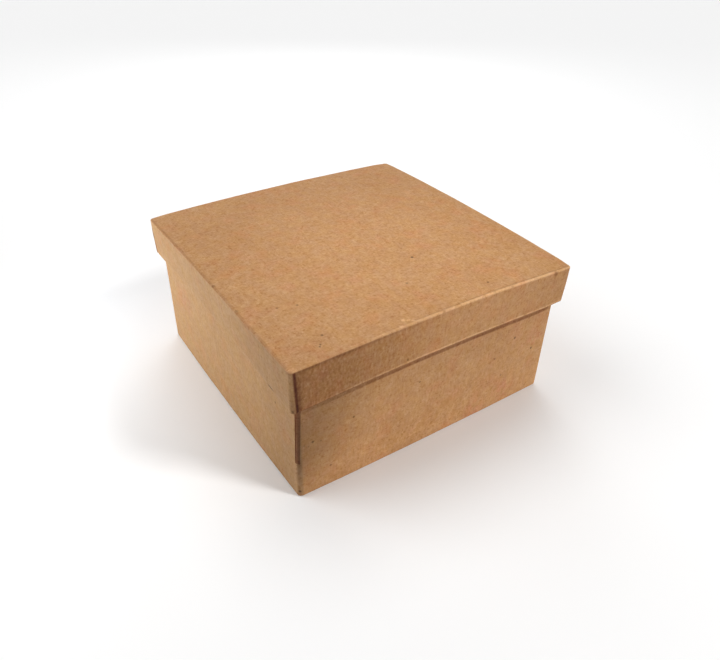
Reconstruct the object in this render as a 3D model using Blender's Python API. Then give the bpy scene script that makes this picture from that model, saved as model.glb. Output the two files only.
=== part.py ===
"""Square papier-mache box with a lift-off lid, built board by board as a box maker builds one.

Each half is a tray of four wall boards and one flat board, taped at its upright corners. The lid's
kraft skin is one sheet over its top and down its rim, lapped at each corner and turned up inside.
The base's skin is a strip round its walls, lapped at the front left corner, folded in over the rim
and under the foot as mitred flaps, which the bottom sheet covers. Paper lines the inside of both.

Metres, +Z up, the wide visible face towards -Y. The origin is the centre of the underside.
"""

import math

import bmesh
import bpy

# Overall sizes. The lid is square, and its height is taken at its four corners.
lid_width = 0.203
height_at_corners = 0.0976
rim_depth = 0.026
corner_radius = 0.003

# How far the paper-covered board has moved: the lid is crowned, its rim leans in, the walls belly out.
lid_crown = 0.002
rim_lean = 0.0009
wall_bow = 0.0009

# Thicknesses, and the glue line between two layers.
skin_thickness = 0.0006
board_thickness = 0.0016
tape_thickness = 0.0002
paper_thickness = 0.00035
layer_gap = 0.00025

# The lid slides over the base with this much play on each side, at the lower edge of its rim.
lid_play = 0.0003

# Folds and flaps of the skin.
fold_radius = 0.0012
rim_fold_radius = 0.0005
flap_width = 0.014
turn_in = 0.012
sheet_margin = 0.002
sheet_proud = 0.0001
lap_step = 0.0003
lap_fade = 0.0008
inner_crease = 0.0003

# Tape and linings.
tape_reach = 0.011
lining_drop = 0.005

# Where the skin's lap ends on its rounded corner, and how wide its open crack is.
base_lap_share = 0.5
lid_lap_share = 0.8
lap_crack_share = 0.06

# Facets, and the widest angle between two of them that is shaded smooth.
arc_steps = 4
fold_steps = 3
bend_steps = 8
bow_steps = 4
smooth_angle = math.radians(35)

# A cut this near a point goes through the point.
cut_tolerance = 0.000001

# Depths of the wall's layers, measured in from the outer face of the skin.
tape_depth = skin_thickness + layer_gap
board_depth = tape_depth + tape_thickness + layer_gap
leaf_depth = board_depth + board_thickness + layer_gap
wall_depth = leaf_depth + paper_thickness
lining_depth = wall_depth + layer_gap

# The base's skin steps up by this much where the bottom sheet covers its flaps.
sheet_recess = paper_thickness + layer_gap - sheet_proud
sheet_depth = sheet_margin + sheet_recess + layer_gap
flap_at_corner = sheet_margin + sheet_recess + skin_thickness

# Heights in the lid, from the lower edge of its rim.
lid_board_top = rim_depth - skin_thickness - layer_gap
lid_board_bottom = lid_board_top - board_thickness
ceiling_top = lid_board_bottom - layer_gap
ceiling = ceiling_top - paper_thickness

# The base fits the leaning rim, and its rim meets the crowned ceiling at the corners.
base_width = lid_width - 2 * (wall_depth + rim_lean + lid_play)
lid_seat = height_at_corners - rim_depth


def lid_rise(x, y):
    """How far the crown lifts the lid at this place."""
    half = lid_width / 2
    return lid_crown * ((1 - (x / half) ** 2) + (1 - (y / half) ** 2))


base_top = lid_seat + ceiling + lid_rise(base_width / 2, base_width / 2) - layer_gap

# Heights in the base, from the surface that it stands on.
floor_bottom = sheet_proud + sheet_recess + skin_thickness + layer_gap
floor_top = floor_bottom + board_thickness
floor_lining_bottom = floor_top + layer_gap
floor_lining_top = floor_lining_bottom + paper_thickness
wall_lining_bottom = floor_lining_top + layer_gap
wall_top = base_top - skin_thickness - layer_gap

# The colour and roughness of each finish.
finishes = {
    "kraft_skin": ((0.50, 0.31, 0.155, 1), 0.78),
    "chipboard": ((0.36, 0.29, 0.22, 1), 0.9),
    "gummed_tape": ((0.42, 0.25, 0.12, 1), 0.6),
    "lining_paper": ((0.55, 0.36, 0.20, 1), 0.85),
}


def bend_lid(x, y, z):
    """The rim leans in towards its lower edge, and the whole lid is crowned."""
    lean = 1 - (1 - z / rim_depth) * rim_lean / (lid_width / 2)
    return x * lean, y * lean, z + lid_rise(x, y)


def bend_base(x, y, z):
    """Each wall bellies out at the middle of its foot, up to where the lid's rim ends."""
    half = base_width / 2
    belly = wall_bow / half * max(0, 1 - z / lid_seat)
    return x * (1 + belly * (1 - (y / half) ** 2)), y * (1 + belly * (1 - (x / half) ** 2)), z


def bow_levels(low, high):
    """The heights between low and high at which a wall of the base may bend."""
    levels = [lid_seat * step / bow_steps for step in range(1, bow_steps + 1)]
    return [level for level in levels if low < level < high]


def bend_places(width):
    """The places along a side at which every layer has its bends."""
    return [width * (step / bend_steps - 1 / 2) for step in range(1, bend_steps)]


def inset(width, depth):
    """Half the width and the corner radius of a layer at this depth in a wall."""
    return width / 2 - depth, max(corner_radius - depth, inner_crease)


def turned(x, y, quarters):
    """The point after this many quarter turns about the upright axis."""
    for _ in range(quarters):
        x, y = -y, x
    return x, y


def lap_sink(angle, lap_share):
    """How deep the skin's outer face lies beyond the end of the lap, on the way round the corner."""
    share = angle / (math.pi / 2)
    return lap_step * (1 - share) / (1 - lap_share) if share >= lap_share else 0


def corner_stations(quarter, lap_share=None):
    """Places round the corner that follows a side, each with its quarter, angle, reach and sink."""
    angles = [math.pi / 2 * step / arc_steps for step in range(arc_steps + 1)]
    if lap_share is None:
        return [(quarter, None, angle, 0, 0) for angle in angles]
    edges = [math.pi / 2 * share for share in (lap_share - lap_crack_share, lap_share)]
    clear = math.pi / 2 * lap_crack_share / 2
    kept = [angle for angle in angles if all(abs(angle - edge) > clear for edge in edges)]
    return [(quarter, None, angle, 0, lap_sink(angle, lap_share)) for angle in sorted(kept + edges)]


def side_stations(quarter, width, mitre):
    """Places along a side, the flaps at full reach between the two mitres."""
    inner = [place for place in bend_places(width) if abs(place) < mitre]
    return [(quarter, place, None, 1, 0) for place in [-mitre, *inner, mitre]]


def ring_stations(width, lap_share=None, lapped_corners=()):
    """Places all the way round, from the front's left end. Corner 3 is the front left one."""
    mitre = width / 2 - corner_radius - (flap_width - flap_at_corner)
    stations = []
    for quarter in range(4):
        stations += side_stations(quarter, width, mitre)
        stations += corner_stations(quarter, lap_share if quarter in lapped_corners else None)
    return stations


def place_at(width, depth, station):
    """The point in plan of one station, at this depth in the wall."""
    quarter, along, angle, _, _ = station
    half, radius = inset(width, depth)
    if angle is None:
        return turned(along, -half, quarter)
    middle = half - radius
    return turned(middle + radius * math.sin(angle), -middle - radius * math.cos(angle), quarter)


def arc(centre_depth, centre_height, radius, start, end):
    """Points of a fold in the wall's section, angles in quarter turns, 0 outwards and 1 upwards."""
    angles = [math.pi / 2 * (start + (end - start) * step / fold_steps) for step in range(fold_steps + 1)]
    return [
        (centre_depth - radius * math.cos(angle), centre_height + radius * math.sin(angle))
        for angle in angles
    ]


def bent(bm, cuts, bend):
    """Cuts the solid through along X, Y and Z wherever it may bend, and bends it."""
    for axis, places in enumerate(cuts):
        for cut in places:
            where = [0, 0, 0]
            where[axis] = cut
            normal = [0, 0, 0]
            normal[axis] = 1
            whole = bm.verts[:] + bm.edges[:] + bm.faces[:]
            bmesh.ops.bisect_plane(bm, geom=whole, dist=cut_tolerance, plane_co=where, plane_no=normal)
    for vertex in bm.verts:
        vertex.co = bend(*vertex.co)
    return bm


def joined_loops(loops, closed_section, ring):
    """A mesh whose loops of points are joined side by side, the last to the first on a ring."""
    bm = bmesh.new()
    loops = [[bm.verts.new(point) for point in loop] for loop in loops]
    pairs = list(zip(loops, loops[1:] + loops[:1]))
    for here, there in pairs if ring else pairs[:-1]:
        for corner in range(len(here) if closed_section else len(here) - 1):
            after = (corner + 1) % len(here)
            bm.faces.new((here[corner], here[after], there[after], there[corner]))
    return bm, loops


def section_loops(width, section, stations):
    """The section's points at each station."""
    return [
        [(*place_at(width, depth, station), height) for depth, height in section(station)]
        for station in stations
    ]


def ring(width, section, stations, bend):
    """A solid whose closed section is carried all the way round."""
    bm, _ = joined_loops(section_loops(width, section, stations), closed_section=True, ring=True)
    return bent(bm, (), bend)


def band(width, section, stations, bend):
    """A solid whose closed section is carried from the first station to the last."""
    bm, loops = joined_loops(section_loops(width, section, stations), closed_section=True, ring=False)
    bm.faces.new(loops[0])
    bm.faces.new(loops[-1])
    return bent(bm, (), bend)


def cap(width, section, stations, bend):
    """A solid whose open section is carried round and closed by a flat face at each of its ends."""
    bm, loops = joined_loops(section_loops(width, section, stations), closed_section=False, ring=True)
    bm.faces.new([loop[0] for loop in loops])
    bm.faces.new([loop[-1] for loop in loops])
    places = bend_places(width)
    return bent(bm, (places, places), bend)


def prism(outline, low, high, cuts, bend):
    """An upright solid over an outline."""
    bm = bmesh.new()
    face = bm.faces.new([bm.verts.new((x, y, low)) for x, y in outline])
    raised = bmesh.ops.extrude_face_region(bm, geom=[face])["geom"]
    top = [piece for piece in raised if isinstance(piece, bmesh.types.BMVert)]
    bmesh.ops.translate(bm, verts=top, vec=(0, 0, high - low))
    return bent(bm, cuts, bend)


def plate(width, depth, low, high, bend):
    """A flat sheet or board with rounded corners, this far in from the outer face."""
    outline = [
        place_at(width, depth, station)
        for quarter in range(4)
        for station in corner_stations(quarter)
    ]
    places = bend_places(width)
    return prism(outline, low, high, (places, places), bend)


def strip(low, high, depth, thickness, levels=()):
    """The section of one upright layer of paper or tape."""
    outside = [(depth, height) for height in (low, *levels, high)]
    inside = [(depth + thickness, height) for height in (high, *reversed(levels), low)]
    return lambda station: outside + inside


def wall_outline(width, between):
    """A wall board in plan, for the front, or for a side board that fits between front and back."""
    half, radius = inset(width, board_depth)
    middle = half - radius

    def arc_points(first, last):
        steps = [math.pi / 2 * step / arc_steps for step in range(arc_steps + 1)]
        angles = [first, *(angle for angle in steps if first < angle < last), last]
        return [(middle + radius * math.sin(angle), -middle - radius * math.cos(angle)) for angle in angles]

    if not between:
        thickness = board_thickness
        end = math.acos(max(0, 1 - thickness / radius))
        square_end = [(half, thickness - half)] if thickness > radius else []
        right = arc_points(0, end) + square_end
        return right + [(-x, y) for x, y in reversed(right)]
    start = board_thickness + layer_gap
    rounded = arc_points(math.acos(1 - start / radius), math.pi / 2) if start < radius else []
    lower = [(half - board_thickness, start - half), *(rounded or [(half, start - half)])]
    upper = [(x, -y) for x, y in reversed(lower)]
    return [turned(x, y, 3) for x, y in lower + upper]


def wall_board(width, low, high, between, levels, bend):
    """One wall board, modelled as the front, or as a side board turned to the front's place."""
    return prism(wall_outline(width, between), low, high, (bend_places(width), (), levels), bend)


def corner_stay(width, low, high, levels, bend):
    """A strip of gummed tape folded round the upright corner to the right of the front."""
    reach = width / 2 - corner_radius - tape_reach
    before = (0, reach, None, 0, 0)
    after = (1, -reach, None, 0, 0)
    stations = [before, *corner_stations(0), after]
    return band(width, strip(low, high, tape_depth, tape_thickness, levels), stations, bend)


def lid_wrap_section(station):
    """The skin of the lid: from its top over the edge, down the rim, in under it and up inside."""
    sink = station[4]
    top = rim_depth
    outside = arc(fold_radius, top - fold_radius, fold_radius, 1, 0)
    outside += [(sink, top - fold_radius - lap_fade)]
    outside += arc(rim_fold_radius + sink, rim_fold_radius, rim_fold_radius, 0, -1)
    outside += arc(wall_depth - rim_fold_radius, rim_fold_radius, rim_fold_radius, -1, -2)
    leaf_end = ceiling - layer_gap
    inside = [(wall_depth, leaf_end), (leaf_depth, leaf_end)]
    inside += [(leaf_depth, skin_thickness), (skin_thickness, skin_thickness)]
    inside += arc(fold_radius, top - fold_radius, fold_radius - skin_thickness, 0, 1)
    return outside + inside


def base_wrap_section(station):
    """The skin of the base: flap, margin, outer face, fold over the rim and the leaf turned down."""
    reach = flap_at_corner + (flap_width - flap_at_corner) * station[3]
    sink = station[4]
    foot = sheet_proud
    under = foot + sheet_recess
    levels = bow_levels(foot + fold_radius, base_top - rim_fold_radius)
    outside = [(reach, under), (sheet_margin + sheet_recess, under), (sheet_margin, foot)]
    outside += arc(fold_radius + sink, foot + fold_radius, fold_radius, -1, 0)
    outside += [(sink, level) for level in levels]
    outside += arc(rim_fold_radius + sink, base_top - rim_fold_radius, rim_fold_radius, 0, 1)
    outside += arc(wall_depth - rim_fold_radius, base_top - rim_fold_radius, rim_fold_radius, 1, 2)
    leaf_end = base_top - turn_in
    inside = [(wall_depth, leaf_end), (leaf_depth, leaf_end)]
    inside += [(leaf_depth, base_top - skin_thickness), (skin_thickness, base_top - skin_thickness)]
    inside += [(skin_thickness, level) for level in reversed(levels)]
    inside += arc(fold_radius, foot + fold_radius, fold_radius - skin_thickness, 0, -1)
    inside += [(sheet_margin, foot + skin_thickness)]
    inside += [(sheet_margin + sheet_recess, under + skin_thickness), (reach, under + skin_thickness)]
    return outside + inside


def mesh_of(name, bm):
    """The finished mesh, its faces turned outwards and its folds and rounded corners smooth."""
    bmesh.ops.recalc_face_normals(bm, faces=bm.faces)
    mesh = bpy.data.meshes.new(name)
    bm.to_mesh(mesh)
    bm.free()
    mesh.shade_smooth()
    mesh.set_sharp_from_angle(angle=smooth_angle)
    return mesh


def add_piece(name, mesh, finish, body, quarters=0):
    """One named piece, carried by its body and turned about the upright axis."""
    colour, roughness = finishes[finish]
    material = bpy.data.materials.new(name)
    material.use_nodes = True
    shader = material.node_tree.nodes["Principled BSDF"]
    shader.inputs["Base Color"].default_value = colour
    shader.inputs["Roughness"].default_value = roughness
    shader.inputs["Metallic"].default_value = 0
    piece = bpy.data.objects.new(name, mesh)
    bpy.context.scene.collection.objects.link(piece)
    if not mesh.materials:
        mesh.materials.append(None)
    piece.material_slots[0].link = "OBJECT"
    piece.material_slots[0].material = material
    piece.parent = body
    piece.rotation_euler.z = math.pi / 2 * quarters
    return piece


def add_body(name, height):
    """An empty that carries the pieces of one half, on the line along which the lid lifts."""
    body = bpy.data.objects.new(name, None)
    body.location.z = height
    bpy.context.scene.collection.objects.link(body)
    return body


def add_tray(kind, body, width, wall_low, wall_high, levels, bend):
    """The four wall boards of one half, and the gummed stays round its upright corners."""
    long_board = mesh_of(f"{kind}_long_board", wall_board(width, wall_low, wall_high, False, levels, bend))
    short_board = mesh_of(f"{kind}_short_board", wall_board(width, wall_low, wall_high, True, levels, bend))
    stay = mesh_of(f"{kind}_stay", corner_stay(width, wall_low, wall_high, levels, bend))
    for quarters, side in enumerate(("front", "right", "back", "left")):
        board = short_board if quarters % 2 else long_board
        add_piece(f"{kind}_{side}_board", board, "chipboard", body, quarters)
    for quarters, corner in enumerate(("front_right", "back_right", "back_left", "front_left")):
        add_piece(f"{kind}_corner_stay_{corner}", stay, "gummed_tape", body, quarters)


def add_base():
    """The tray that stands on the table."""
    body = add_body("base", 0)
    levels = bow_levels(floor_bottom, wall_top)
    add_tray("base", body, base_width, floor_bottom, wall_top, levels, bend_base)
    floor = plate(base_width, leaf_depth, floor_bottom, floor_top, bend_base)
    add_piece("base_floor_board", mesh_of("base_floor_board", floor), "chipboard", body)
    skin = ring(base_width, base_wrap_section, ring_stations(base_width, base_lap_share, (3,)), bend_base)
    add_piece("base_wrap", mesh_of("base_wrap", skin), "kraft_skin", body)
    sheet = plate(base_width, sheet_depth, 0, paper_thickness, bend_base)
    add_piece("base_bottom_sheet", mesh_of("base_bottom_sheet", sheet), "kraft_skin", body)
    floor_lining = plate(base_width, leaf_depth, floor_lining_bottom, floor_lining_top, bend_base)
    add_piece("base_floor_lining", mesh_of("base_floor_lining", floor_lining), "lining_paper", body)
    lining_top = base_top - lining_drop
    levels = bow_levels(wall_lining_bottom, lining_top)
    section = strip(wall_lining_bottom, lining_top, lining_depth, paper_thickness, levels)
    lining = ring(base_width, section, ring_stations(base_width), bend_base)
    add_piece("base_wall_lining", mesh_of("base_wall_lining", lining), "lining_paper", body)


def add_lid():
    """The shallow tray that slides down over the base."""
    body = add_body("lid", lid_seat)
    add_tray("lid", body, lid_width, skin_thickness + layer_gap, ceiling_top, (), bend_lid)
    board = plate(lid_width, board_depth, lid_board_bottom, lid_board_top, bend_lid)
    add_piece("lid_top_board", mesh_of("lid_top_board", board), "chipboard", body)
    skin = cap(lid_width, lid_wrap_section, ring_stations(lid_width, lid_lap_share, range(4)), bend_lid)
    add_piece("lid_wrap", mesh_of("lid_wrap", skin), "kraft_skin", body)
    lining = plate(lid_width, leaf_depth, ceiling, ceiling_top, bend_lid)
    add_piece("lid_lining", mesh_of("lid_lining", lining), "lining_paper", body)


for old in list(bpy.data.objects):
    bpy.data.objects.remove(old, do_unlink=True)

add_base()
add_lid()
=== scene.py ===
"""The looks of a square papier-mache box: worn kraft skins, linings, boards and tape.

Metres, in the part's own frame: +Z up, the wide visible face towards -Y.
"""

import math
from types import SimpleNamespace

import bmesh
import bpy
from mathutils import Matrix, Vector, noise


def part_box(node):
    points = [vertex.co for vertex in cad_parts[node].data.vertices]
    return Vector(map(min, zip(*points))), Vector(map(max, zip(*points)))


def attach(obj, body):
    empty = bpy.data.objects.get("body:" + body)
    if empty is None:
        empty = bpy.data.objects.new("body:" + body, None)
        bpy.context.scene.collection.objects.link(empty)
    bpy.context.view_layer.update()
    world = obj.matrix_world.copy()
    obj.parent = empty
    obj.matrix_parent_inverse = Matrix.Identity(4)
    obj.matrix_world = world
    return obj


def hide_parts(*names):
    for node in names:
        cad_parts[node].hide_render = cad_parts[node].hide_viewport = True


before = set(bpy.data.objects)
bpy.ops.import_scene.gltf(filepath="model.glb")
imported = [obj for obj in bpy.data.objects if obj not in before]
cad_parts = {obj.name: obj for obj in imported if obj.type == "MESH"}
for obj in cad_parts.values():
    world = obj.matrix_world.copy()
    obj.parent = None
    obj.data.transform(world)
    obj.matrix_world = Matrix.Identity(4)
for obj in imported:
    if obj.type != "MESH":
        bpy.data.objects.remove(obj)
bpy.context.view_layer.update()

# Overall sizes, as the boards under the skin have them.
lid_width = 0.203
base_width = 0.1936
rim_depth = 0.026
corner_radius = 0.003
lid_crown = 0.002
rim_lean = 0.0009
wall_bow = 0.0009

# The skins' own sizes.
skin_sheet = 0.00035
wall_depth = 0.0035
fold_radius = 0.0012
rim_fold_radius = 0.0006
ceiling_height = 0.0227
turn_in = 0.012
foot_height = 0.0001
sheet_margin = 0.002
sheet_recess = 0.0005
flap_width = 0.014
grid_step = 0.0036
groove_places = (0.0022, 0.0034)

# How finely the folds are rounded, in steps, the least angle between two faces that counts as a fold, in
# radians, and the greatest angle that is shaded smooth, in degrees.
corner_steps = 8
top_fold_steps = 4
small_fold_steps = 3
fold_angle = 0.5
smooth_angle = 35

# How the parts of a skin are told apart: how level a face lies, how near a round corner's vertices are to
# its point, and the area, in square metres, that only a broad flat face has.
level_tolerance = 0.00001
crowd_reach = 0.0011
broad_face_area = 0.0035

# The laps: where the upper sheet ends, measured round the corner as x minus y from the corner's middle,
# at the foot of the lid or base, how fast that place moves with height, and the step and crack beside it.
# The crack takes up crack_share of the way between its two cuts.
corner_zone = 0.012
lap_step = 0.00026
lap_crack = 0.00046
crack_width = 0.00016
crack_share = 0.9
lid_lap = 0.0034
lid_lap_slant = -0.027
lid_lap_reach = 0.004
base_lap = -0.0042
base_lap_slant = 0.053
base_strip = 0.0038
base_lap_foot = 0.027
base_lap_reach = base_strip * 1.4

# The lid's skin is longer than its boards: it hangs lower along the front, most at the front left corner,
# and it swells up along the front edge of the top. Both start in front of the lid's middle, and the swell
# fades out along x between its two ends.
front_sag = 0.0011
sag_start = 0.03
sag_run = 0.02
corner_sag = 0.0009
corner_sag_reach = 0.09
front_swell = 0.0011
swell_start = 0.045
swell_ends = (0.09, 0.02)

# The paper's unevenness: its slow swells and small puckers, each with its width, its depth and where its
# noise starts, then the groove inside the lid's top edge, the nick, and the crushed tips of the corners.
paper_swells = (0.034, 0.00012, 3.1)
paper_puckers = (0.009, 0.00005, 8.4)
groove_depth = 0.00016
nick_depth = 0.0003
corner_crush = 0.0003
most_sink = 0.00048

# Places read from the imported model.
lid_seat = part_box("lid_wrap")[0].z
lid_top = lid_seat + rim_depth
base_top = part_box("base_wrap")[1].z
lid_lap_start = lid_lap - lid_lap_slant * lid_seat

# The camera stands at the photo's angle: sensor and lens in millimetres, the rest in metres and degrees.
sensor_width = 36
lens = 33.0
camera_turn = -34.468
camera_tilt = 35.551
camera_roll = 1.43
camera_distance = 0.46511
camera_right = 0.00734
camera_up = -0.01911
aim_height = 0.0488

# Colours of the papers and boards.
kraft_colour = (0.49, 0.26, 0.118)
# The worn colour is that of scuffed kraft, and also of the painted highlight along the lid's folds.
worn_and_highlight_colour = (0.68, 0.4, 0.21)
red_tint = (1.04, 0.95, 0.95)
yellow_tint = (1.02, 1.0, 0.86)
# The left and dull tints are painted light: the left side is drawn cooler, and duller towards its front
# end, as the light falls there.
left_light_tint = (0.92, 1.0, 1.03)
dull_light_tint = (0.84, 0.84, 0.88)
blush_tint = (1.03, 0.9, 1.0)
# This dark colour serves for real dirt, and also for painted shade and painted shadow.
soil_and_shade_colour = (0.125, 0.02, 0.001)
chipboard_colour = (0.36, 0.29, 0.22)
tape_colour = (0.42, 0.25, 0.12)
lining_colour = (0.5, 0.3, 0.15)

# The studio: a pale floor, in metres across, and a white surround.
floor_size = 12
floor_colour = (0.96, 0.96, 0.96)
surround_strength = 0.17

# Marks on the kraft: what each is, its place before the box is bent, its radius, how dark it is, or how
# light where that is below zero, and the shares that draw it out along an axis, where it isn't round.
lid_marks = (
    ("speck", (0.0178, -0.0435, lid_top), 0.0013, 0.75),
    ("speck", (-0.0799, -0.0483, lid_top), 0.0011, 0.4),
    ("speck", (-0.0692, -0.0519, lid_top), 0.0011, 0.4),
    ("speck", (-0.072, -0.0836, lid_top), 0.0011, 0.5),
    ("hair's end", (-0.0768, -0.09, lid_top), 0.0009, 0.5),
    ("hair's end", (-0.0779, -0.0913, lid_top), 0.0009, 0.5),
    ("speck", (-0.0036, -0.0667, lid_top), 0.0011, 0.45),
    ("speck", (0.0388, -0.0904, lid_top), 0.0011, 0.5),
    ("stain on the left edge", (-0.1004, -0.0079, lid_top), 0.0017, 0.28),
    ("stain on the left edge", (-0.0999, -0.0386, lid_top), 0.0016, 0.24),
    # The light mark at the front left tip is a painted highlight.
    ("painted highlight at the front left tip", (-0.0992, -0.0992, lid_top), 0.004, -0.16),
    ("speck on the rim", (-0.0268, -0.1015, lid_seat + 0.0032), 0.001, 0.45),
    # The dark mark on the rim's left side is painted shadow, where the gap between lid and base shows.
    ("painted shadow in the gap at the rim", (-0.1015, -0.0773, lid_seat + 0.0009), 0.0008, 0.65, (1, 0.16, 1)),
    # The dark mark at the rim's front left corner is painted shade.
    ("painted shade at the rim's corner", (-0.1005, -0.1007, lid_seat + 0.0016), 0.0011, 0.35),
)
nick_place = (0.0866, -0.1015, lid_top - 0.0012)

# Rubbed places near the lid's front edge: place, radius, and the shares that draw each out along an axis.
lid_tears = (
    ((-0.0279, -0.096, lid_top), 0.0016, (0.8, 1, 1)),
    ((-0.0256, -0.0974, lid_top), 0.0011, (0.7, 1, 1)),
    ((-0.0235, -0.0987, lid_top), 0.001, (0.7, 1, 1)),
    ((-0.0324, -0.1004, lid_top), 0.0018, (0.8, 1, 1)),
)
base_marks = (
    ("speck", (0.0648, -0.0968, 0.0532), 0.0013, 0.6),
    ("speck", (0.0831, -0.0968, 0.0377), 0.0013, 0.6),
    ("speck", (0.0491, -0.0968, 0.0425), 0.001, 0.5),
    ("speck", (0.0575, -0.0968, 0.0255), 0.001, 0.4),
    ("speck", (-0.0129, -0.0968, 0.051), 0.001, 0.45),
    ("speck", (-0.0597, -0.0968, 0.0462), 0.0011, 0.5),
    ("speck", (-0.0867, -0.0968, 0.0408), 0.0012, 0.55),
    ("speck", (-0.0753, -0.0968, 0.0161), 0.0011, 0.45),
    ("speck", (-0.0815, -0.0968, 0.039), 0.0008, 0.35),
    ("speck", (-0.0921, -0.0968, 0.0405), 0.0008, 0.35),
    ("speck", (-0.0895, -0.0968, 0.0386), 0.0007, 0.3),
    ("nick at the foot", (-0.0958, -0.096, 0.0048), 0.0014, 0.65),
    ("speck under the rim", (-0.0968, -0.0733, 0.057), 0.0011, 0.45),
)

# Reddish patches on the base's paper: place and radius.
base_blushes = (
    ((0.085, -0.0968, 0.0452), 0.009),
    ((0.062, -0.0968, 0.0115), 0.013),
    ((0.036, -0.0968, 0.006), 0.012),
    ((-0.0968, 0.0618, 0.0504), 0.016),
)


def lid_rise(x, y):
    """How far the crown lifts the lid at this place."""
    half = lid_width / 2
    return lid_crown * ((1 - (x / half) ** 2) + (1 - (y / half) ** 2))


def hang(x, y):
    """How much lower than the boards the skin's lower edge hangs at this place."""
    half = lid_width / 2
    along_front = smooth_share(-y, sag_start, half) * smooth_share(x, half, half - sag_run)
    to_corner = math.hypot(x + half, y + half)
    return front_sag * along_front + corner_sag * smooth_share(to_corner, corner_sag_reach, 0.0)


def swell(x, y):
    """How much higher than the boards the skin stands along the front edge of the top."""
    along_front = smooth_share(-y, swell_start, lid_width / 2)
    return front_swell * along_front * smooth_share(x, *swell_ends)


def bend_lid(place):
    """The rim leans in towards its lower edge, the whole lid is crowned, and its skin hangs and swells."""
    x, y, z = place
    share = (z - lid_seat) / rim_depth
    lean = 1 - (1 - share) * rim_lean / (lid_width / 2)
    height = z + lid_rise(x, y) + swell(x, y) * share - hang(x, y) * (1 - share)
    return Vector((x * lean, y * lean, height))


def bend_base(place):
    """Each wall bellies out at the middle of its foot, up to where the lid's rim ends."""
    x, y, z = place
    half = base_width / 2
    belly = wall_bow / half * max(0, 1 - z / lid_seat)
    x, y = x * (1 + belly * (1 - (y / half) ** 2)), y * (1 + belly * (1 - (x / half) ** 2))
    return Vector((x, y, max(z, 0)))


def set_active(piece):
    """Makes this piece the only one selected."""
    bpy.ops.object.select_all(action="DESELECT")
    piece.select_set(True)
    bpy.context.view_layer.objects.active = piece


def block(name, low, high):
    """A block between two corners, ready to be shaped."""
    bpy.ops.object.select_all(action="DESELECT")
    bpy.ops.mesh.primitive_cube_add(size=1, location=(Vector(low) + Vector(high)) / 2)
    piece = bpy.context.object
    piece.name = piece.data.name = name
    piece.scale = Vector(high) - Vector(low)
    bpy.ops.object.transform_apply(location=True, rotation=True, scale=True)
    bpy.ops.object.mode_set(mode="EDIT")
    return piece


def pick(piece, kind, wanted):
    """In edit mode, selects the faces or edges for which wanted says true."""
    bpy.ops.mesh.select_mode(type=kind)
    bpy.ops.mesh.select_all(action="DESELECT")
    shell = bmesh.from_edit_mesh(piece.data)
    for element in shell.faces if kind == "FACE" else shell.edges:
        if wanted(element):
            element.select_set(True)
    bmesh.update_edit_mesh(piece.data)


def upright(edge):
    """True for an edge that runs straight up."""
    one, other = (vertex.co for vertex in edge.verts)
    return abs(one.z - other.z) > abs(one.x - other.x) + abs(one.y - other.y)


def at_height(height):
    """A test for edges and faces that lie level at this height."""
    return lambda element: all(abs(vertex.co.z - height) < level_tolerance for vertex in element.verts)


def folds_at(height):
    """A test for the edges at this height where two faces meet at an angle."""
    level = at_height(height)
    return lambda edge: level(edge) and edge.calc_face_angle(0) > fold_angle


def broad_at(height):
    """A test for the broad face at this height."""
    level = at_height(height)
    return lambda face: level(face) and face.calc_area() > broad_face_area


def soften(piece, wanted, radius, steps):
    """Rounds the edges that wanted picks."""
    pick(piece, "EDGE", wanted)
    bpy.ops.mesh.bevel(
        offset_type="OFFSET", offset=radius, segments=steps, affect="EDGES", clamp_overlap=False
    )


def inset_face(piece, height, width):
    """Insets the level face at this height."""
    pick(piece, "FACE", at_height(height))
    bpy.ops.mesh.inset(thickness=width, depth=0, use_even_offset=True)


def square_corners(piece, height, reach):
    """Draws the broad face's round corners to points, because they would cross when inset further."""
    shell = bmesh.from_edit_mesh(piece.data)
    broad = max(filter(at_height(height), shell.faces), key=lambda face: face.calc_area())
    corners = [Vector((x, y, height)) for x in (-reach, reach) for y in (-reach, reach)]
    crowds = [
        [vertex for vertex in broad.verts if (vertex.co - corner).length < crowd_reach]
        for corner in corners
    ]
    for corner, crowd in zip(corners, crowds):
        bmesh.ops.pointmerge(shell, verts=crowd, merge_co=corner)
    bmesh.update_edit_mesh(piece.data)


def cut_across(axis, places):
    """Cuts all that is in edit mode across one axis at each place."""
    normal = Vector((0, 0, 0))
    normal[axis] = 1
    for place in places:
        bpy.ops.mesh.select_all(action="SELECT")
        bpy.ops.mesh.bisect(plane_co=normal * place, plane_no=normal, threshold=level_tolerance)


def places_between(low, high, step):
    """Evenly spaced places from low to high, about a step apart."""
    count = round((high - low) / step)
    return [low + (high - low) * index / count for index in range(count + 1)]


def cut_grid(half, low, high):
    """Cuts the sides and the flat faces into a grid, closer together beside the folds."""
    reach = half - corner_radius
    near = [half - place for place in groove_places if half - place > reach]
    across = places_between(-reach, reach, grid_step) + near + [-place for place in near]
    for axis in (0, 1):
        cut_across(axis, across)
    cut_across(2, places_between(low, high, grid_step)[1:-1])


def quarter_turn(quarters):
    """A turn about the box's upright middle line."""
    return Matrix.Rotation(math.pi / 2 * quarters, 3, "Z")


def cut_lap(piece, half, turn, start, slant, ceiling):
    """Cuts beside a lap's edge on one corner, from the foot up to the ceiling height."""
    def near_corner(face):
        middle = turn.inverted() @ face.calc_center_median()
        return middle.x < corner_zone - half and middle.y < corner_zone - half and middle.z < ceiling

    normal = turn @ Vector((1, -1, -slant))
    for shift in (-crack_width, crack_width):
        pick(piece, "FACE", near_corner)
        place = (start + shift) / 2
        on_cut = turn @ Vector((place, -place, 0))
        bpy.ops.mesh.bisect(plane_co=on_cut, plane_no=normal, threshold=level_tolerance)


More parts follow.
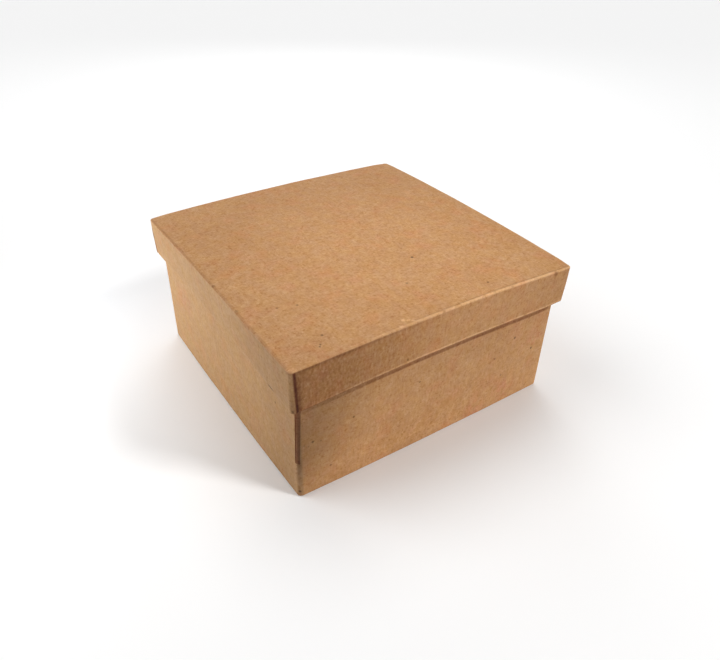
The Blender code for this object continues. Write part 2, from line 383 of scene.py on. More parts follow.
def past_lap(place, half, turn, start, slant):
    """How far past a lap's edge this place lies on the way round its corner, or None away from it."""
    x, y, z = turn.inverted() @ place
    if x > corner_zone - half or y > corner_zone - half:
        return None
    return x - y - slant * z - start


def apply_modifier(piece, kind, **settings):
    """Adds a modifier with these settings and applies it."""
    set_active(piece)
    modifier = piece.modifiers.new(kind.title(), kind)
    for name, value in settings.items():
        setattr(modifier, name, value)
    bpy.ops.object.modifier_apply(modifier=modifier.name)


def move_vertices(piece, rule):
    """Puts each vertex where the rule says, given its place and its normal."""
    normals = [vertex.normal.copy() for vertex in piece.data.vertices]
    for vertex, normal in zip(piece.data.vertices, normals):
        vertex.co = rule(vertex.co, normal)
    piece.data.update()


def smooth_share(value, start, end):
    """0 at start and 1 at end, easing in and out between."""
    share = min(1, max(0, (value - start) / (end - start)))
    return share * share * (3 - 2 * share)


def wobble(place, size, seed):
    """Smooth noise between about -1 and 1, with bumps of this size."""
    return noise.noise(place / size + Vector((seed, seed * 0.7, seed * 1.3)))


def unevenness(place):
    """How far the paper lies below its highest places, for its slow swells and its small puckers."""
    bumps = (paper_swells, paper_puckers)
    return sum(depth * (1 - wobble(place, size, seed)) for size, depth, seed in bumps)


def lap_sink(past, reach):
    """How deep the lower sheet lies beside a lap's edge: a crack, then a step that fades out."""
    if past is None or past <= -crack_width * crack_share or past > reach:
        return 0
    if past < crack_width * crack_share:
        return lap_crack
    return lap_step * (1 - past / reach)


def groove_sink(place):
    """How deep the soft groove inside the lid's top edge is, most of all along the front."""
    if place.z <= lid_top - 0.0001:
        return 0
    farthest = max(abs(place.x), abs(place.y))
    inside = lid_width / 2 - farthest
    strength = 0.6 + 0.4 * wobble(place, 0.02, 5.7)
    if -place.y != farthest:
        strength *= 0.3
    outer_part = smooth_share(inside, 0.0011, 0.0022)
    return groove_depth * strength * outer_part * smooth_share(inside, 0.006, 0.003)


def lid_sink(place):
    """The lid's paper sinks beside its four laps, in its groove, at a nick and at its corners' tips."""
    half = lid_width / 2
    below_fold = smooth_share(lid_top - place.z, 0.0006, 0.003)
    sink = 0
    for quarters in range(4):
        past = past_lap(place, half, quarter_turn(quarters), lid_lap_start, lid_lap_slant)
        sink += lap_sink(past, lid_lap_reach) * below_fold
    sink += groove_sink(place)
    to_nick = (place - Vector(nick_place)).length
    to_tip = (Vector((abs(place.x), abs(place.y), place.z)) - Vector((half, half, lid_top))).length
    nick = nick_depth * smooth_share(to_nick, 0.0022, 0.0004)
    return sink + nick + corner_crush * smooth_share(to_tip, 0.012, 0.002)


def base_sink(place):
    """The base's paper sinks between its lap's edge and the end of the strip under it."""
    half = base_width / 2
    past = past_lap(place, half, Matrix.Identity(3), base_lap, base_lap_slant)
    open_part = smooth_share(place.z, base_lap_foot - 0.002, base_lap_foot + 0.002)
    return lap_sink(past, base_lap_reach) * open_part


def keep_flat_places(piece):
    """Stores where each vertex lies before the piece is bent, for its finish to read."""
    layer = piece.data.attributes.new("flat_place", "FLOAT_VECTOR", "POINT")
    for vertex, stored in zip(piece.data.vertices, layer.data):
        stored.vector = vertex.co


def finish_skin(piece, sink, bend):
    """Lapped, uneven, bent with the boards under it, and as thick as one sheet."""
    bpy.ops.object.mode_set(mode="OBJECT")
    apply_modifier(piece, "SUBSURF", levels=1, render_levels=1, boundary_smooth="PRESERVE_CORNERS")
    keep_flat_places(piece)

    def sunk(place, normal):
        return place - normal * min(most_sink, unevenness(place) + sink(place))

    move_vertices(piece, sunk)
    move_vertices(piece, lambda place, normal: bend(place))
    apply_modifier(piece, "SOLIDIFY", thickness=skin_sheet, offset=-1, use_even_offset=False)
    bpy.ops.object.shade_smooth_by_angle(angle=math.radians(smooth_angle))
    return piece


def make_lid_skin():
    """One sheet over the lid's top, down its rim, in under it and up inside."""
    half = lid_width / 2
    skin = block("lid_skin", (-half, -half, lid_seat), (half, half, lid_top))
    soften(skin, upright, corner_radius, corner_steps)
    inset_face(skin, lid_seat, wall_depth)
    square_corners(skin, lid_seat, half - wall_depth)
    pick(skin, "FACE", broad_at(lid_seat))
    bpy.ops.mesh.extrude_region_move(TRANSFORM_OT_translate={"value": (0, 0, ceiling_height)})
    bpy.ops.mesh.delete(type="FACE")
    soften(skin, at_height(lid_top), fold_radius, top_fold_steps)
    soften(skin, folds_at(lid_seat), rim_fold_radius, small_fold_steps)
    cut_grid(half, lid_seat + rim_fold_radius, lid_top - fold_radius)
    lap_ceiling = lid_top - fold_radius / 2
    for quarters in range(4):
        cut_lap(skin, half, quarter_turn(quarters), lid_lap_start, lid_lap_slant, lap_ceiling)
    return finish_skin(skin, lid_sink, bend_lid)


def make_base_skin():
    """A strip round the walls, folded in over the rim, and under the foot as flaps."""
    half = base_width / 2
    skin = block("base_skin", (-half, -half, foot_height), (half, half, base_top))
    soften(skin, upright, corner_radius, corner_steps)
    inset_face(skin, base_top, wall_depth)
    square_corners(skin, base_top, half - wall_depth)
    pick(skin, "FACE", broad_at(base_top))
    bpy.ops.mesh.extrude_region_move(TRANSFORM_OT_translate={"value": (0, 0, -turn_in)})
    bpy.ops.mesh.delete(type="FACE")
    soften(skin, folds_at(base_top), rim_fold_radius, small_fold_steps)
    soften(skin, at_height(foot_height), fold_radius, small_fold_steps)
    inset_face(skin, foot_height, sheet_margin - fold_radius)
    square_corners(skin, foot_height, half - sheet_margin)
    pick(skin, "FACE", broad_at(foot_height))
    bpy.ops.mesh.inset(thickness=sheet_recess, depth=-sheet_recess)
    bpy.ops.mesh.inset(thickness=flap_width - sheet_margin - sheet_recess)
    bpy.ops.mesh.delete(type="FACE")
    cut_grid(half, foot_height + fold_radius, base_top - rim_fold_radius)
    cut_lap(skin, half, Matrix.Identity(3), base_lap, base_lap_slant, base_top)
    return finish_skin(skin, base_sink, bend_base)


class Finish:
    """One finish, whose nodes are added and joined in turn."""

    def __init__(self, name):
        self.material = bpy.data.materials.new(name)
        self.material.use_nodes = True
        self.tree = self.material.node_tree
        self.shader = self.tree.nodes["Principled BSDF"]

    def join(self, value, slot):
        """Joins a node's result to a slot, or sets the slot to a plain value."""
        if isinstance(value, bpy.types.NodeSocket):
            self.tree.links.new(value, slot)
        else:
            slot.default_value = value

    def add(self, kind, slots, result=0, **settings):
        """Adds a node, fills its slots, and gives back one of its results."""
        node = self.tree.nodes.new("ShaderNode" + kind)
        for name, value in settings.items():
            setattr(node, name, value)
        for slot, value in slots.items():
            self.join(value, node.inputs[slot])
        return node.outputs[result]

    def calc(self, operation, one, other=0.0, third=0.0):
        """A calculation with one, two or three values."""
        return self.add("Math", {0: one, 1: other, 2: third}, operation=operation)

    def fade(self, value, start, end):
        """0 where the value is at start, 1 where it is at end, and smooth between."""
        slots = {"Value": value, "From Min": start, "From Max": end}
        return self.add("MapRange", slots, interpolation_type="SMOOTHSTEP")

    def both(self, *values):
        """The product of several values."""
        product = values[0]
        for value in values[1:]:
            product = self.calc("MULTIPLY", product, value)
        return product

    def most(self, *values):
        """The greatest of several values."""
        greatest = values[0]
        for value in values[1:]:
            greatest = self.calc("MAXIMUM", greatest, value)
        return greatest

    def band(self, value, start, full, full_end, end):
        """1 where the value lies between full and full_end, fading to 0 at start and at end."""
        return self.both(self.fade(value, start, full), self.fade(value, end, full_end))

    def place(self):
        """Where a place lies in the piece's own coordinates."""
        return self.add("TexCoord", {}, result="Object")

    def axes(self, place):
        """A place's three coordinates."""
        split = self.tree.nodes.new("ShaderNodeSeparateXYZ")
        self.join(place, split.inputs[0])
        return tuple(split.outputs)

    def darken(self, value, share, strength):
        """Takes this strength off the value where the share is 1."""
        return self.calc("MULTIPLY", value, self.calc("MULTIPLY_ADD", share, -strength, 1.0))

    def calmer(self, tone, share):
        """Takes a quarter off the paper's contrast where the share is 1."""
        contrast = self.calc("MULTIPLY_ADD", share, -0.25, 1.0)
        return self.calc("MULTIPLY_ADD", self.calc("SUBTRACT", tone, 1.0), contrast, 1.0)

    def vary(self, value, pattern, strength):
        """Adds a pattern that runs from 0 to 1, centred on no change."""
        return self.calc("MULTIPLY_ADD", pattern, strength, self.calc("SUBTRACT", value, strength / 2))

    def cloud(self, place, size, detail=2.0, stretch=(1, 1, 1), turn=(0, 0, 0)):
        """Noise with spots of this size, drawn out and turned as asked."""
        scale = [1 / (size * share) for share in stretch]
        spots = self.add("Mapping", {"Vector": place, "Rotation": turn, "Scale": scale})
        return self.add("TexNoise", {"Vector": spots, "Scale": 1.0, "Detail": detail})

    def fibres(self, value, place, stretch, turn, strength, length=0.005, width=0.0003):
        """Thin fibres that lie along one direction."""
        spots = self.cloud(place, width, 1.0, [length / width if share else 1 for share in stretch], turn)
        return self.calc("MULTIPLY_ADD", self.fade(spots, 0.6, 0.72), strength, value)

    def specks(self, value, place, spacing, size, strength):
        """Dark specks scattered at random."""
        node = self.tree.nodes.new("ShaderNodeTexVoronoi")
        self.join(place, node.inputs["Vector"])
        self.join(1 / spacing, node.inputs["Scale"])
        chosen = self.fade(node.outputs["Color"], 0.5, 0.62)
        mark = self.both(self.fade(node.outputs["Distance"], size / spacing, size / spacing / 3), chosen)
        return self.darken(value, mark, strength)

    def spot(self, place, middle, radius, stretch=(1, 1, 1)):
        """1 at a marked place, fading out to nothing at its radius, or further along a stretched side."""
        away = self.add("VectorMath", {0: place, 1: middle}, operation="SUBTRACT")
        away = self.add("VectorMath", {0: away, 1: stretch}, operation="MULTIPLY")
        return self.fade(self.add("VectorMath", {0: away}, 1, operation="LENGTH"), radius, radius / 3)

    def tint(self, colour, share, other, kind="MIX"):
        """Mixes a colour with another, or multiplies it by it, by this share."""
        return self.add("MixRGB", {"Fac": share, "Color1": colour, "Color2": other}, blend_type=kind)

    def scaled(self, colour, factor):
        """A colour made lighter or darker."""
        return self.add("VectorMath", {0: colour, "Scale": factor}, operation="SCALE")

    def relief(self, height, depth, strength=1.0):
        """Fine bumps in the surface."""
        slots = {"Height": height, "Distance": depth, "Strength": strength}
        self.join(self.add("Bump", slots), self.shader.inputs["Normal"])

    def paint(self, colour, roughness):
        """Sets the colour and the roughness."""
        self.join(colour, self.shader.inputs["Base Color"])
        self.join(roughness, self.shader.inputs["Roughness"])


def paper_tone(finish, place, strength=1.0):
    """A value near 1 that varies as kraft paper does: clouds, mottles, grain, fibres and specks."""
    grain = finish.cloud(place, 0.0014, 3.0, (1, 1, 1.8))
    pits = finish.fade(finish.cloud(place, 0.0019, 2.0), 0.45, 0.3)
    tone = finish.vary(1.01, finish.cloud(place, 0.045), 0.14 * strength)
    tone = finish.vary(tone, finish.cloud(place, 0.009, 3.0), 0.13 * strength)
    tone = finish.vary(tone, finish.cloud(place, 0.0034, 2.0, (1, 1, 1.3)), 0.25 * strength)
    tone = finish.vary(tone, grain, 0.34 * strength)
    tone = finish.calc("MULTIPLY_ADD", pits, -0.15 * strength, tone)
    for stretch, turn, share in (
        ((1, 0, 0), (0, 0, 0.2), 0.1),
        ((0, 1, 0), (0, 0, -0.5), 0.09),
        ((0, 0, 1), (0.1, 0, 0), 0.1),
        ((1, 0, 0), (0, 0.7, 0.8), -0.13),
        ((0, 1, 0), (0.6, 0.3, 0), -0.13),
    ):
        tone = finish.fibres(tone, place, stretch, turn, share * strength)
    return finish.specks(tone, place, 0.016, 0.00045, 0.3 * strength), grain


def lay_kraft(finish, place, tone, grain, colour, shade=1.0):
    """Kraft paper's colour, deeper where it is darker, with red patches, a dull sheen and fine relief."""
    red = finish.fade(finish.cloud(place, 0.013, 4.0), 0.46, 0.74)
    yellow = finish.fade(finish.cloud(place, 0.0065, 3.0, (1, 1.3, 1), (0.4, 0.2, 0.9)), 0.3, 0.7)
    colour = finish.tint(colour, red, (*red_tint, 1), "MULTIPLY")
    colour = finish.tint(colour, yellow, (*yellow_tint, 1), "MULTIPLY")
    deeper = finish.add("Gamma", {"Color": colour, "Gamma": finish.calc("SUBTRACT", 2.0, tone)})
    lighter = finish.calc("MULTIPLY_ADD", tone, 0.28, 0.72)
    colour = finish.scaled(deeper, finish.both(lighter, shade))
    finish.paint(colour, finish.vary(0.72, finish.cloud(place, 0.004), 0.2))
    finish.relief(grain, 0.00012, 0.6)
    finish.shader.inputs["Specular IOR Level"].default_value = 0.2


def skin_places(finish, half, lap_start, lap_slant):
    """Where a place on a skin lies: before the skin was bent, past the front left lap, and by side."""
    flat = finish.add("Attribute", {}, result="Vector", attribute_name="flat_place")
    x, y, z = finish.axes(flat)
    around = finish.calc("SUBTRACT", x, y)
    return SimpleNamespace(
        place=finish.place(), flat=flat, x=x, y=y, z=z, around=around,
        past=finish.calc("SUBTRACT", finish.calc("MULTIPLY_ADD", z, -lap_slant, around), lap_start),
        corner=finish.fade(finish.calc("ADD", x, y), 0.012 - 2 * half, 0.008 - 2 * half),
        left=finish.fade(x, 0.004 - half, 0.002 - half),
    )


def lid_places(finish):
    """Where a place on the lid's skin lies, with how far it is from the folds, the edge and the rim."""
    half = lid_width / 2
    at = skin_places(finish, half, lid_lap_start, lid_lap_slant)
    farthest = finish.most(finish.calc("ABSOLUTE", at.x), finish.calc("ABSOLUTE", at.y))
    at.inside = finish.calc("SUBTRACT", half, farthest)
    at.below = finish.calc("SUBTRACT", lid_top, at.z)
    at.to_rim = finish.calc("SUBTRACT", at.z, lid_seat)
    from_ridge = finish.add("CombineXYZ", {0: finish.calc("SUBTRACT", at.inside, 0.0005), 1: at.below})
    at.to_fold = finish.add("VectorMath", {0: from_ridge}, 1, operation="LENGTH")
    under_fold = finish.fade(at.below, 0.0004, 0.0016)
    at.front = finish.fade(at.y, 0.005 - half, 0.002 - half)
    at.rim_face = finish.both(at.front, under_fold)
    at.left_face = finish.both(at.left, under_fold)
    at.right_part = finish.fade(at.x, -0.07, 0.02)
    at.corner = finish.both(at.corner, finish.fade(at.below, 0.0003, 0.0016))
    at.patchy = finish.fade(finish.cloud(at.place, 0.0035, 3.0), 0.24, 0.5)
    return at


def lid_wear_and_highlight(finish, at, grain):
    """How far the lid is drawn pale: worn paper and a painted highlight along its folds and rim, most at
    the front, and scuffed at four places.
    """
    # Along the top fold and the rim's lower fold the pale line is worn paper and a painted highlight,
    # strongest at the front right.
    front_wear_and_highlight = finish.calc("MULTIPLY_ADD", finish.both(at.front, at.right_part), 0.8, 0.2)
    fold_wear_and_highlight = finish.both(finish.fade(at.to_fold, 0.0016, 0.0005), at.patchy, front_wear_and_highlight)
    along_rim = finish.both(at.front, finish.fade(at.x, -0.095, -0.05))
    rim_reach = finish.calc("MULTIPLY_ADD", along_rim, 0.65, 0.13)
    rim_wear_and_highlight = finish.both(finish.band(at.to_rim, 0.0004, 0.001, 0.0015, 0.0022), at.patchy, rim_reach)
    torn_grain = finish.fade(grain, 0.28, 0.42)
    tears = [
        finish.both(finish.spot(at.flat, middle, radius, stretch), torn_grain, 0.85)
        for middle, radius, stretch in lid_tears
    ]
    return finish.most(fold_wear_and_highlight, rim_wear_and_highlight, *tears)


def lid_lap_soil_and_shade(finish, at):
    """The dark of the lid's front left lap, dirt and painted shade: a dark core, what spreads from it to
    both sides, and painted shade on the corner's curve before it.
    """
    high = finish.fade(at.below, 0.004, 0.018)
    low = finish.fade(at.z, lid_seat + 0.014, lid_seat + 0.001)
    core = finish.both(finish.band(at.past, -0.0016, -0.0003, 0.0005, 0.0022), at.corner, 0.87)
    beside = finish.both(finish.band(at.past, -0.0005, 0.0004, 0.0012, 0.0054), at.corner, 0.32)
    spread = finish.both(finish.band(at.past, -0.0005, 0.0004, 0.0004, 0.0046), at.corner, high, 0.62)
    # Painted shade on the corner's curve before the lap's edge, wider towards the rim's lower edge.
    ahead = finish.both(finish.band(at.past, -0.0023, -0.0005, -0.0004, 0.0006), at.corner, 0.34)
    tip = finish.both(finish.band(at.past, -0.0062, -0.0018, -0.0004, 0.0006), at.corner, low, 0.34)
    return finish.most(core, beside, spread, ahead, tip)


def lid_soil_and_shade(finish, at):
    """How far the lid is drawn dark: dirt and painted shade at its lap, dirt at its nick and along its
    left top edge, and painted shade along the lower edge of the front rim and under the near part of the
    top fold.
    """
    half = lid_width / 2
    nick = finish.both(finish.spot(at.flat, nick_place, 0.0024, (1, 1, 0.7)), 0.42)
    # Painted shade along the lower edge of the front rim.
    rim_edge_shade = finish.both(finish.fade(at.to_rim, 0.0009, 0.0003), at.front, 0.65)
    left_line = finish.both(finish.fade(at.to_fold, 0.0018, 0.001), finish.fade(at.below, 0.001, 0.0004))
    left_soil = finish.both(left_line, at.left, at.patchy, 0.24)
    # Painted shade in a band under the top fold, along the near part of the front.
    near_part = finish.both(finish.fade(at.x, 0.1 - half, 0.05 - half), at.front)
    fold_shade = finish.both(finish.band(at.below, 0.0006, 0.001, 0.0014, 0.003), near_part, 0.3)
    return finish.most(lid_lap_soil_and_shade(finish, at), nick, rim_edge_shade, left_soil, fold_shade)


def draw_marks(finish, shade, flat, marks):
    """Darkens the shade at each mark, or lightens it."""
    for _, middle, radius, strength, *stretch in marks:
        shade = finish.darken(shade, finish.spot(flat, middle, radius, *stretch), strength)
    return shade


def lid_shade(finish, at, near_end_shade):
    """Painted light and shade on the lid: painted light round a place near the middle of its front part,
    painted shade in the groove inside the top's front edge, over the front rim and at its near end,
    painted light on the front left corner's curve, then its marks.
    """
    # Painted light: the top is drawn lighter round this place and darker away from it.
    light_middle = (0.012, -0.038, lid_top)
    away = finish.add("VectorMath", {0: at.flat, 1: light_middle}, 1, operation="DISTANCE")
    shade = finish.calc("MULTIPLY_ADD", finish.fade(away, 0.14, 0.03), 0.18, 0.95)
    groove = finish.both(finish.band(at.inside, 0.0012, 0.002, 0.0024, 0.0034), at.right_part, at.front)
    corner_light = finish.both(finish.fade(at.around, -0.0046, -0.003), finish.fade(at.past, -0.001, -0.0024))
    corner_light = finish.both(corner_light, at.corner)
    # Each share is painted shade, or painted light where its strength is below zero.
    for share, strength in ((groove, 0.14), (corner_light, -0.18), (at.rim_face, 0.11), (near_end_shade, 0.25)):
        shade = finish.darken(shade, share, strength)
    return draw_marks(finish, shade, at.flat, lid_marks)


def lid_tone(finish, at, tone, grain, near_end_shade):
    """The paper's tone: calmer on the left side, deeper over the front rim and at its near end as painted
    shade, with rougher grain at that near end.
    """
    tone = finish.calmer(tone, finish.both(at.left, finish.fade(at.below, 0.0, 0.0012)))
    tone = finish.calc("MULTIPLY_ADD", at.rim_face, -0.03, tone)
    tone = finish.calc("MULTIPLY_ADD", near_end_shade, -0.16, tone)
    rough_grain = finish.both(finish.calc("SUBTRACT", grain, 0.5), near_end_shade)
    return finish.calc("MULTIPLY_ADD", rough_grain, 0.6, tone)


def side_colour(finish, left, dull):
    """Kraft's colour with painted light: tinted cooler on the left side, and duller towards its front end.
    """
    colour = finish.tint((*kraft_colour, 1), left, (*left_light_tint, 1), "MULTIPLY")
    return finish.tint(colour, dull, (*dull_light_tint, 1), "MULTIPLY")


def make_lid_kraft():
    """The lid's kraft: worn with a painted highlight along its folds, dirty with painted shade at the
    front left corner's lap, and with painted light and shade over it.
    """
    finish = Finish("kraft_on_lid")
    half = lid_width / 2
    at = lid_places(finish)
    tone, grain = paper_tone(finish, at.place)
    near_end = finish.fade(at.x, 0.11 - half, 0.008 - half)
    # Painted shade over the near end of the front rim.
    near_end_shade = finish.both(near_end, at.rim_face, finish.fade(at.past, -0.0012, 0.0003))
    # Painted light: the left side is drawn duller towards the front.
    dull = finish.both(at.left_face, finish.fade(at.y, 0.075 - half, 0.01 - half))
    colour = side_colour(finish, at.left_face, dull)
    colour = finish.tint(colour, lid_wear_and_highlight(finish, at, grain), (*worn_and_highlight_colour, 1))
    colour = finish.tint(colour, lid_soil_and_shade(finish, at), (*soil_and_shade_colour, 1))
    tone = lid_tone(finish, at, tone, grain, near_end_shade)
    lay_kraft(finish, at.place, tone, grain, colour, lid_shade(finish, at, near_end_shade))
    return finish.material


def base_places(finish):
    """Where a place on the base's skin lies, on its front, on the open part of its lap or below that."""
    half = base_width / 2
    at = skin_places(finish, half, base_lap, base_lap_slant)
    at.front = finish.fade(at.y, 0.006 - half, 0.003 - half)
    at.open_part = finish.fade(at.z, base_lap_foot - 0.0004, base_lap_foot + 0.0004)
    closed_part = finish.calc("SUBTRACT", 1.0, at.open_part)
    corner_fold = finish.band(at.around, -0.0022, -0.0012, 0.0012, 0.003)
    at.lower = finish.both(corner_fold, at.corner, closed_part)
    return at


def base_lap_soil_and_shade(finish, at):
    """The dark of the base's lap, dirt and painted shade: a dark strip with darker cracks at its two
    edges, and a trace below.
    """
    to_far_edge = finish.calc("ABSOLUTE", finish.calc("SUBTRACT", at.past, base_strip))
    far_crack = finish.both(finish.fade(to_far_edge, 0.0006, 0.0001), 0.7)
    near_crack = finish.fade(finish.calc("ABSOLUTE", at.past), 0.0007, 0.0001)
    strip = finish.both(finish.band(at.past, -0.0003, 0.0002, base_strip, base_strip + 0.0005), 0.66)
    strip = finish.most(strip, finish.both(finish.most(near_crack, far_crack), 0.84))
    return finish.most(finish.both(at.open_part, strip, at.corner), finish.both(at.lower, 0.12))


def rim_shadow_line(finish, at):
    """A painted shadow line along the front wall where the lid's rim ends, following its crown and its
    sag.
    """
    half = base_width / 2
    arch = finish.calc("MULTIPLY_ADD", finish.both(at.x, at.x), -lid_crown / half ** 2, lid_crown)
    near_sag = finish.both(finish.fade(at.x, corner_sag_reach - half, -half), corner_sag)
    sag = finish.calc("MULTIPLY_ADD", finish.fade(at.x, half, half - sag_run), front_sag, near_sag)
    height = finish.calc("ADD", finish.calc("SUBTRACT", at.z, arch), sag)
    line = finish.both(finish.band(height, 0.0652, 0.0664, 0.0674, 0.0698), at.front)
    return finish.both(line, finish.fade(at.x, -0.13, -0.02), finish.fade(at.x, half, half - 0.009), 0.62)


def base_shade(finish, at, near_end_shade):
    """Painted light and shade on the base: painted shade at the near end of the front and under the rim,
    painted light at the front's foot and at the foot of the lap, then its marks.
    """
    foot = finish.both(finish.fade(at.z, 0.034, 0.004), at.front)
    corner_foot = finish.both(at.lower, finish.fade(at.z, 0.03, 0.01))
    under_rim = finish.both(finish.fade(at.z, 0.036, 0.067), at.front, finish.fade(at.x, -0.09, -0.04))
    shade = 1.0
    # Each share is painted shade, or painted light where its strength is below zero.
    for share, strength in ((near_end_shade, 0.46), (foot, -0.14), (corner_foot, -0.28), (under_rim, 0.1)):
        shade = finish.darken(shade, share, strength)
    return draw_marks(finish, shade, at.flat, base_marks)


def base_near_end_shade(finish, at):
    """Painted shade over the near end of the front wall, which reaches further along it higher up."""
    slope = 0.35
    reach = finish.calc("ADD", at.x, base_width / 2 + slope * lid_seat)
    reach = finish.calc("MULTIPLY_ADD", at.z, -slope, reach)
    near_end_shade = finish.both(finish.fade(reach, 0.068, 0.008), at.front, finish.fade(at.z, -0.03, 0.03))
    return finish.both(near_end_shade, finish.fade(at.past, 0.0, base_strip))


def make_base_kraft():
    """The base's kraft: a strip of dirt and painted shade at its lap, and a painted shadow line where the
    lid's rim ends.
    """
    finish = Finish("kraft_on_base")
    half = base_width / 2
    at = base_places(finish)
    tone, grain = paper_tone(finish, at.place)
    near_end_shade = base_near_end_shade(finish, at)
    # The tone is deeper under the painted shade at the near end of the front wall, and calmer on the left
    # side.
    tone = finish.calmer(finish.calc("MULTIPLY_ADD", near_end_shade, -0.05, tone), at.left)
    # Painted light: the left side is drawn duller towards the front.
    dull = finish.both(at.left, finish.fade(at.y, 0.06 - half, 0.006 - half))
    blush = finish.most(*(finish.spot(at.flat, middle, radius) for middle, radius in base_blushes))
    blush = finish.both(blush, finish.fade(finish.cloud(at.place, 0.004, 3.0), 0.35, 0.6))
    colour = side_colour(finish, at.left, dull)
    colour = finish.tint(colour, blush, (*blush_tint, 1), "MULTIPLY")
    # Dirt and painted shade at the lap, and a painted shadow line where the lid's rim ends.
    soil_and_shadow = finish.most(base_lap_soil_and_shade(finish, at), rim_shadow_line(finish, at))
    colour = finish.tint(colour, soil_and_shadow, (*soil_and_shade_colour, 1))
    lay_kraft(finish, at.place, tone, grain, colour, base_shade(finish, at, near_end_shade))
    return finish.material


def make_foot_kraft():
    """The kraft under the box: scuffed round its edge, where the box stands."""
    finish = Finish("kraft_under_foot")
    place = finish.place()
    x, y, _ = finish.axes(place)
    tone, grain = paper_tone(finish, place)
    farthest = finish.most(finish.calc("ABSOLUTE", x), finish.calc("ABSOLUTE", y))
    patchy = finish.fade(finish.cloud(place, 0.006, 4.0), 0.45, 0.62)
    scuffed = finish.both(finish.fade(farthest, 0.07, 0.094), patchy, 0.45)
    colour = finish.tint((*kraft_colour, 1), scuffed, (*worn_and_highlight_colour, 1))
    lay_kraft(finish, place, tone, grain, colour)
    return finish.material


def make_lining():
    """Thinner kraft paper inside the box, with faint brush marks of the glue."""
    finish = Finish("lining_paper")
    place = finish.place()
    tone, grain = paper_tone(finish, place, 0.7)
    brushed = finish.cloud(place, 0.004, 3.0, (9, 1, 1), (0, 0, 0.35))
    tone = finish.vary(tone, brushed, 0.16)
    lay_kraft(finish, place, tone, grain, (*lining_colour, 1))
    return finish.material


def make_chipboard():
    """Grey-brown board of pressed waste paper, with light and dark flecks."""
    finish = Finish("chipboard")
    place = finish.place()
    pulp = finish.cloud(place, 0.0009, 4.0)
    tone = finish.vary(finish.vary(1.0, finish.cloud(place, 0.02, 3.0), 0.2), pulp, 0.4)
    tone = finish.specks(tone, place, 0.003, 0.0003, 0.5)
    tone = finish.specks(tone, place, 0.0047, 0.0004, -0.5)
    finish.paint(finish.scaled(chipboard_colour, tone), finish.vary(0.88, pulp, 0.15))
    finish.relief(pulp, 0.0002)
    return finish.material


def make_tape():
    """Gummed kraft tape: fine lines along its length, and a slight shine."""
    finish = Finish("gummed_tape")
    place = finish.place()
    lines = finish.cloud(place, 0.0006, 2.0, (1, 1, 14))
    tone = finish.vary(finish.vary(1.0, finish.cloud(place, 0.012, 3.0), 0.18), lines, 0.25)
    finish.paint(finish.scaled(tape_colour, tone), finish.vary(0.52, lines, 0.12))
    finish.relief(lines, 0.00006)
    return finish.material


def dress(piece, material):
    """Gives the whole piece one finish."""
    piece.data.materials.clear()
    piece.data.materials.append(material)


def camera_axes():
    """The camera's right, up and backward directions."""
    turn, tilt, roll = (math.radians(angle) for angle in (camera_turn, camera_tilt, camera_roll))
    back = Vector((math.sin(turn) * math.cos(tilt), -math.cos(turn) * math.cos(tilt), math.sin(tilt)))
    level = Vector((math.cos(turn), math.sin(turn), 0))
    steep = back.cross(level)
    right = level * math.cos(roll) + steep * math.sin(roll)
    up = steep * math.cos(roll) - level * math.sin(roll)
    return right, up, back


def place_camera():
    """The camera at the photo's viewing angle."""
    right, up, back = camera_axes()
    data = bpy.data.cameras.new("camera")
    data.lens = lens
    data.sensor_width = sensor_width
    data.sensor_fit = "HORIZONTAL"
    data.clip_start = 0.01
    camera = bpy.data.objects.new("camera", data)
    bpy.context.scene.collection.objects.link(camera)
    eye = Vector((0, 0, aim_height)) + back * camera_distance + right * camera_right + up * camera_up
    camera.matrix_world = Matrix.Translation(eye) @ Matrix((right, up, back)).transposed().to_4x4()
    bpy.context.scene.camera = camera


def aim_light(name, kind, azimuth, elevation, power):
    """A light turned to the box from this direction, and that direction."""
    turn, rise = math.radians(azimuth), math.radians(elevation)
    away = Vector((math.cos(turn) * math.cos(rise), math.sin(turn) * math.cos(rise), math.sin(rise)))
    data = bpy.data.lights.new(name, kind)
    data.energy = power
    light = bpy.data.objects.new(name, data)
    bpy.context.scene.collection.objects.link(light)
    light.rotation_mode = "QUATERNION"
    light.rotation_quaternion = away.to_track_quat("Z", "Y")
    return light, away


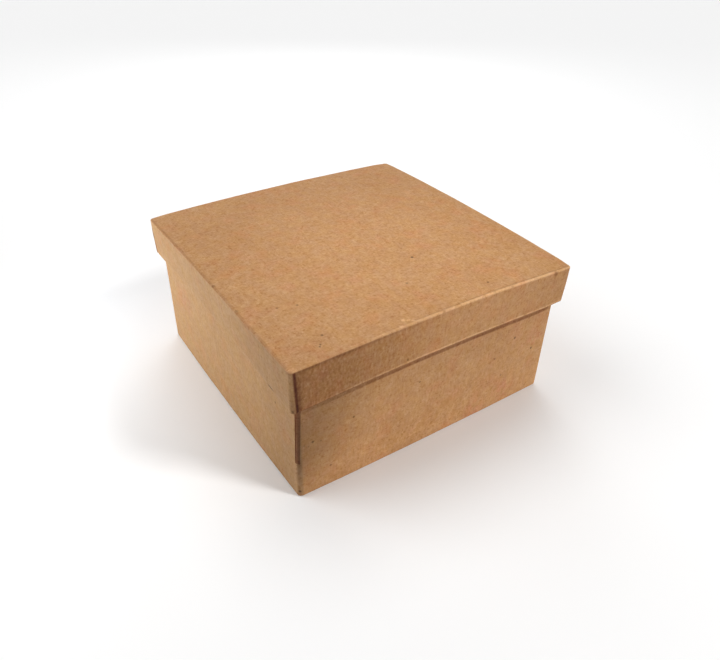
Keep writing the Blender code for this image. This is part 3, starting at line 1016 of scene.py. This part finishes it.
def softbox(name, azimuth, elevation, distance, size, power, colour=(1, 1, 1)):
    """A square soft light at this distance from the box's middle."""
    light, away = aim_light(name, "AREA", azimuth, elevation, power)
    light.data.shape = "SQUARE"
    light.data.size = size
    light.data.color = colour
    light.visible_camera = False
    light.location = Vector((0, 0, base_top / 2)) + away * distance


def wide_light(name, azimuth, elevation, spread, power):
    """A far soft light, which falls evenly on the box and the whole floor."""
    light, away = aim_light(name, "SUN", azimuth, elevation, power)
    light.data.angle = math.radians(spread)
    light.location = away


def make_studio():
    """A pale floor and surround, and lights from the front, the left and behind."""
    bpy.ops.object.select_all(action="DESELECT")
    bpy.ops.mesh.primitive_plane_add(size=floor_size, location=(0, 0, 0))
    floor = bpy.context.object
    floor.name = "floor"
    pale = Finish("pale_floor")
    pale.paint((*floor_colour, 1), 0.9)
    dress(floor, pale.material)
    wide_light("light_front", azimuth=308, elevation=37, spread=14, power=1.62)
    wide_light("light_left", azimuth=150, elevation=45, spread=40, power=1.1)
    wide_light("light_behind", azimuth=60, elevation=65, spread=40, power=0.82)
    softbox("softbox_behind", azimuth=60, elevation=30, distance=0.9, size=0.4, power=1.1)
    softbox("softbox_right", azimuth=310, elevation=12, distance=0.5, size=0.3, power=0.14)
    cool = (0.94, 1.0, 1.06)
    softbox("softbox_left", azimuth=150, elevation=5, distance=0.3, size=0.14, power=0.228, colour=cool)
    world = bpy.data.worlds.new("surround")
    world.use_nodes = True
    backdrop = world.node_tree.nodes["Background"]
    backdrop.inputs["Color"].default_value = (1, 1, 1, 1)
    backdrop.inputs["Strength"].default_value = surround_strength
    bpy.context.scene.world = world
    bpy.context.scene.view_settings.view_transform = "Standard"


place_camera()
make_studio()

lid_kraft = make_lid_kraft()
base_kraft = make_base_kraft()
foot_kraft = make_foot_kraft()
lining = make_lining()
chipboard = make_chipboard()
tape = make_tape()

for name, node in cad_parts.items():
    if "stay" in name:
        dress(node, tape)
    elif "lining" in name:
        dress(node, lining)
    elif "board" in name:
        dress(node, chipboard)
    else:
        dress(node, foot_kraft)

lid_skin = make_lid_skin()
dress(lid_skin, lid_kraft)
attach(lid_skin, "lid")
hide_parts("lid_wrap")

base_skin = make_base_skin()
dress(base_skin, base_kraft)
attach(base_skin, "base")
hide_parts("base_wrap")
